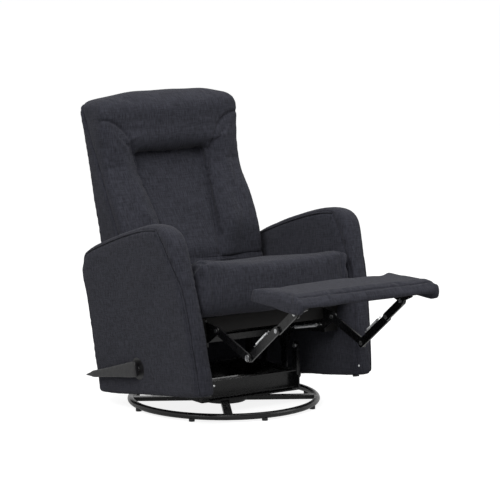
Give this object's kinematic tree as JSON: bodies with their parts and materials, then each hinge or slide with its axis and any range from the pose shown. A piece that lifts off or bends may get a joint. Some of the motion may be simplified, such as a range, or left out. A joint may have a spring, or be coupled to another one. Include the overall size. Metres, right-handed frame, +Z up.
{
  "type": "swivel glider recliner",
  "caption": "Padded armchair on a turning ring base with glide links, a reclining back, a side lever and a footrest that folds out on jointed links.",
  "frame": {"origin": "on the floor, in the middle of the footprint with the footrest out", "axes": "+Z up, the chair faces -Y, the sitter's left hand is at +X; +Y is the chair's long way"},
  "size_m": [0.7816, 1.309, 1.0381],
  "materials": {
    "charcoal_fabric": "fine linen-like weave, dull",
    "black_steel": "glossy black powder coat",
    "zinc_steel": "bright zinc plate",
    "plain_wood": "plywood and hardwood, stained dark",
    "black_plastic": "satin moulded plastic"
  },
  "bodies": {
    "base": {"base_ring": "black_steel", "base_spokes": "black_steel", "base_hub": "black_steel", "base_feet": "black_plastic"},
    "stand": {"swivel_bearing": "zinc_steel", "stand_base": "black_steel", "stand_side_left": "black_steel", "stand_side_right": "black_steel", "stand_channel_front": "black_steel", "stand_channel_rear": "black_steel", "stand_pivot_bolts": "zinc_steel"},
    "glide_front_left": {"glide_link_front_left": "black_steel"},
    "glide_front_right": {"glide_link_front_right": "black_steel"},
    "glide_rear_left": {"glide_link_rear_left": "black_steel"},
    "glide_rear_right": {"glide_link_rear_right": "black_steel"},
    "lever": {"lever_handle": "black_plastic", "lever_shaft": "zinc_steel"},
    "back": {"back_cushion": "charcoal_fabric", "back_shell": "charcoal_fabric", "back_board": "plain_wood", "back_bracket_left": "black_steel", "back_bracket_right": "black_steel"},
    "drive_left": {"drive_link_left": "black_steel", "drive_rivets_left": "zinc_steel"},
    "drive_right": {"drive_link_right": "black_steel", "drive_rivets_right": "zinc_steel"},
    "mid_left": {"mid_link_left": "black_steel"},
    "mid_right": {"mid_link_right": "black_steel"},
    "upper_left": {"upper_link_left": "black_steel", "upper_rivets_left": "zinc_steel"},
    "upper_right": {"upper_link_right": "black_steel", "upper_rivets_right": "zinc_steel"},
    "footrest": {"footrest_board": "plain_wood", "footrest_cushion": "charcoal_fabric", "footrest_bracket_left": "black_steel", "footrest_bracket_right": "black_steel"},
    "carriage": {"arm_feet": "black_plastic", "arm_left": "charcoal_fabric", "arm_right": "charcoal_fabric", "back_hinge_pins": "zinc_steel", "carriage_rail_left": "black_steel", "carriage_rail_right": "black_steel", "carriage_tube_front": "black_steel", "carriage_tube_rear": "black_steel", "lever_escutcheon": "black_plastic", "mechanism_plate_left": "black_steel", "mechanism_plate_right": "black_steel", "rail_pivot_bolts": "zinc_steel", "rear_panel": "charcoal_fabric", "seat_cushion": "charcoal_fabric", "seat_rail_front": "plain_wood", "seat_rail_rear": "plain_wood", "seat_side_rail_left": "plain_wood", "seat_side_rail_right": "plain_wood", "seat_springs": "zinc_steel"}
  },
  "joints": [
    {"name": "swivel", "type": "hinge", "parent": "base", "child": "stand", "pos_m": [0, 0.184, 0.04], "axis": [0, 0, 1], "continuous": true},
    {"name": "glide", "type": "hinge", "parent": "stand", "child": "glide_rear_left", "pos_m": [0.205, 0.324, 0.199], "axis": [1, 0, 0], "range_deg": [-18, 18]},
    {"name": "glide_front_left_hang", "type": "hinge", "parent": "stand", "child": "glide_front_left", "pos_m": [0.205, 0.044, 0.199], "axis": [1, 0, 0], "range_deg": [-20, 20]},
    {"name": "glide_front_right_hang", "type": "hinge", "parent": "stand", "child": "glide_front_right", "pos_m": [-0.205, 0.044, 0.199], "axis": [1, 0, 0], "range_deg": [-20, 20]},
    {"name": "glide_rear_right_hang", "type": "hinge", "parent": "stand", "child": "glide_rear_right", "pos_m": [-0.205, 0.324, 0.199], "axis": [1, 0, 0], "range_deg": [-20, 20]},
    {"name": "carriage_level", "type": "hinge", "parent": "glide_rear_left", "child": "carriage", "pos_m": [0.205, 0.324, 0.099], "axis": [1, 0, 0], "range_deg": [-20, 20]},
    {"name": "lever_pull", "type": "hinge", "parent": "carriage", "child": "lever", "pos_m": [-0.37, 0.15888, 0.16299], "axis": [1, 0, 0], "range_deg": [0, 30], "stiffness_Nm_per_rad": 1.5, "springref_deg": -20.05},
    {"name": "back_recline", "type": "hinge", "parent": "carriage", "child": "back", "pos_m": [0, 0.39126, 0.27878], "axis": [-1, 0, 0], "range_deg": [0, 28]},
    {"name": "footrest_fold", "type": "hinge", "parent": "carriage", "child": "drive_left", "pos_m": [0.232, -0.12206, 0.31961], "axis": [1, 0, 0], "range_deg": [0, 74]},
    {"name": "drive_right_turn", "type": "hinge", "parent": "carriage", "child": "drive_right", "pos_m": [-0.232, -0.12206, 0.31961], "axis": [1, 0, 0], "range_deg": [-2, 76]},
    {"name": "elbow_left", "type": "hinge", "parent": "drive_left", "child": "mid_left", "pos_m": [0.228, -0.29841, 0.25755], "axis": [1, 0, 0], "range_deg": [-134.2, 2]},
    {"name": "knee_left", "type": "hinge", "parent": "mid_left", "child": "upper_left", "pos_m": [0.222, -0.44252, 0.36796], "axis": [1, 0, 0], "range_deg": [-2, 176.7]},
    {"name": "elbow_right", "type": "hinge", "parent": "drive_right", "child": "mid_right", "pos_m": [-0.228, -0.29841, 0.25755], "axis": [1, 0, 0], "range_deg": [-134.2, 2]},
    {"name": "knee_right", "type": "hinge", "parent": "mid_right", "child": "upper_right", "pos_m": [-0.222, -0.44252, 0.36796], "axis": [1, 0, 0], "range_deg": [-2, 176.7]},
    {"name": "footrest_tilt", "type": "hinge", "parent": "upper_left", "child": "footrest", "pos_m": [0.215, -0.53085, 0.43564], "axis": [1, 0, 0], "range_deg": [-34.3, 2]}
  ],
  "couplings": [
    {"joint": "glide_front_left_hang", "follows": "glide", "ratio": 1},
    {"joint": "glide_front_right_hang", "follows": "glide", "ratio": 1},
    {"joint": "glide_rear_right_hang", "follows": "glide", "ratio": 1},
    {"joint": "carriage_level", "follows": "glide", "ratio": -1},
    {"joint": "drive_right_turn", "follows": "footrest_fold", "ratio": 1},
    {"joint": "elbow_left", "follows": "footrest_fold", "ratio": -1.7864},
    {"joint": "knee_left", "follows": "footrest_fold", "ratio": 2.3605},
    {"joint": "elbow_right", "follows": "footrest_fold", "ratio": -1.7864},
    {"joint": "knee_right", "follows": "footrest_fold", "ratio": 2.3605},
    {"joint": "footrest_tilt", "follows": "footrest_fold", "ratio": -0.43621}
  ]
}
